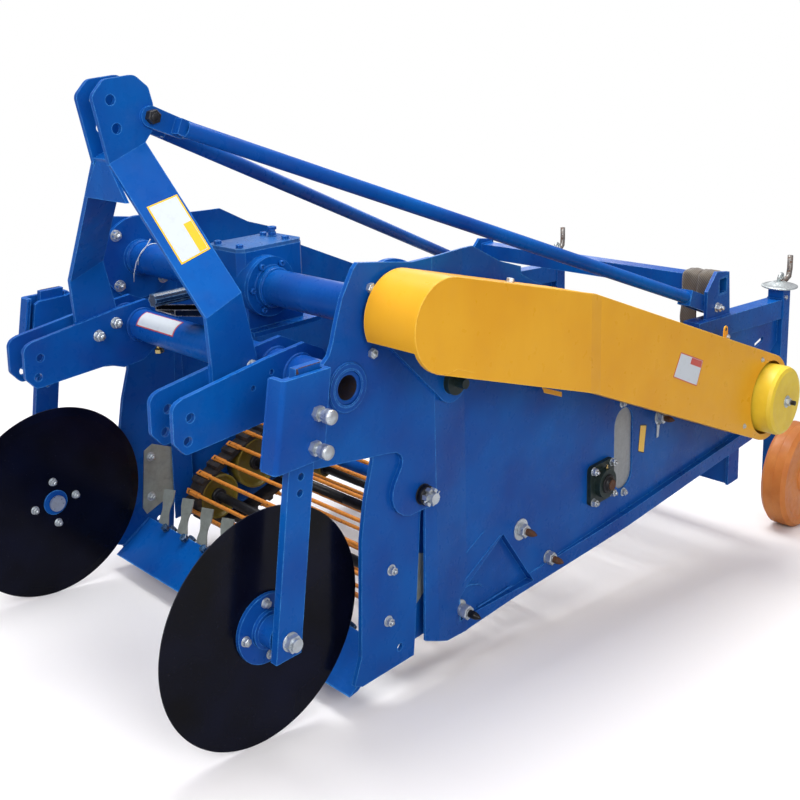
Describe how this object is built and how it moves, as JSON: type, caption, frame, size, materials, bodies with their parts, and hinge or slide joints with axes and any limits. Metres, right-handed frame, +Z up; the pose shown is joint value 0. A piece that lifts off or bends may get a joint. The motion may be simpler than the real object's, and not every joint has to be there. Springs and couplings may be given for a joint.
{
  "type": "potato harvester",
  "caption": "Trailed-on-linkage root digger: coulter discs, share, rod-link elevator, side chain guard and jack wheels, standing on discs and wheels.",
  "frame": {"origin": "centre of the box round the machine, on the floor that its discs and wheels stand on", "axes": "+X towards the chain guard's side, +Y rearward, +Z up"},
  "size_m": [1.479, 3.0248, 1.4993],
  "materials": {
    "blue_enamel": "gloss",
    "black_steel": "gloss",
    "zinc_steel": "satin",
    "bare_steel": "satin",
    "copper_rods": "satin",
    "belt_rubber": "matte",
    "olive_rollers": "satin",
    "amber_enamel": "gloss",
    "yellow_plastic": "gloss",
    "orange_plastic": "satin",
    "webbing": "matte"
  },
  "bodies": {
    "frame": {"disc_arm_left": "blue_enamel", "disc_arm_right": "blue_enamel", "side_plate_left": "blue_enamel", "side_plate_right": "blue_enamel", "side_wall_left": "blue_enamel", "side_wall_right": "blue_enamel", "mast_bar_left": "blue_enamel", "mast_bar_right": "blue_enamel", "axle_tube_left": "blue_enamel", "axle_tube_right": "blue_enamel", "stay_left": "blue_enamel", "stay_right": "blue_enamel", "jack_arm_left": "blue_enamel", "jack_arm_right": "blue_enamel", "stub_axles": "zinc_steel", "set_bolts": "zinc_steel", "pivot_studs": "black_steel", "share_carriers": "blue_enamel", "deflectors": "zinc_steel", "cranks": "zinc_steel", "window_covers": "zinc_steel", "share_blade": "blue_enamel", "share_fingers": "zinc_steel", "hitch_lugs_left": "blue_enamel", "hitch_lugs_right": "blue_enamel", "hitch_tube": "blue_enamel", "mast_tie": "blue_enamel", "gearbox": "blue_enamel", "gearbox_cover": "blue_enamel", "pto_shield": "zinc_steel", "rear_beam": "blue_enamel", "lower_beam": "blue_enamel", "web_rods": "copper_rods", "web_belts": "belt_rubber", "web_rollers": "olive_rollers", "return_roller": "olive_rollers", "drive_roller": "bare_steel", "agitator": "black_steel", "flange_bearings": "black_steel", "cross_ties": "blue_enamel", "chain_guard": "amber_enamel", "guard_cap": "yellow_plastic", "drive_bracket": "blue_enamel", "idler_bearing": "black_steel", "lift_strap": "webbing"},
    "disc_left": {"disc_left": "black_steel", "disc_hub_left": "blue_enamel"},
    "disc_right": {"disc_right": "black_steel", "disc_hub_right": "blue_enamel"},
    "wheel_leg_left": {"wheel_leg_left": "blue_enamel"},
    "wheel_leg_right": {"wheel_leg_right": "blue_enamel"},
    "wheel_left": {"wheel_left": "orange_plastic"},
    "wheel_right": {"wheel_right": "orange_plastic"},
    "input_shaft": {"pto_shaft": "blue_enamel"}
  },
  "joints": [
    {"name": "disc_left", "type": "hinge", "parent": "frame", "child": "disc_left", "pos_m": [0.4245, -1.23242, 0.28], "axis": [1, 0, 0], "continuous": true},
    {"name": "jack_left", "type": "slide", "parent": "frame", "child": "wheel_leg_left", "axis": [0, -0.1324, 0.9912], "range_m": [-0.15, 0.05]},
    {"name": "wheel_left", "type": "hinge", "parent": "wheel_leg_left", "child": "wheel_left", "pos_m": [0.5515, 1.31142, 0.201], "axis": [1, 0, 0], "continuous": true},
    {"name": "disc_right", "type": "hinge", "parent": "frame", "child": "disc_right", "pos_m": [-0.5495, -1.23242, 0.28], "axis": [1, 0, 0], "continuous": true},
    {"name": "jack_right", "type": "slide", "parent": "frame", "child": "wheel_leg_right", "axis": [0, -0.1324, 0.9912], "range_m": [-0.15, 0.05]},
    {"name": "wheel_right", "type": "hinge", "parent": "wheel_leg_right", "child": "wheel_right", "pos_m": [-0.6765, 1.31142, 0.201], "axis": [1, 0, 0], "continuous": true},
    {"name": "input_shaft", "type": "hinge", "parent": "frame", "child": "input_shaft", "pos_m": [-0.0625, -1.02506, 0.97859], "axis": [0, 0.9912, 0.1324], "continuous": true}
  ]
}
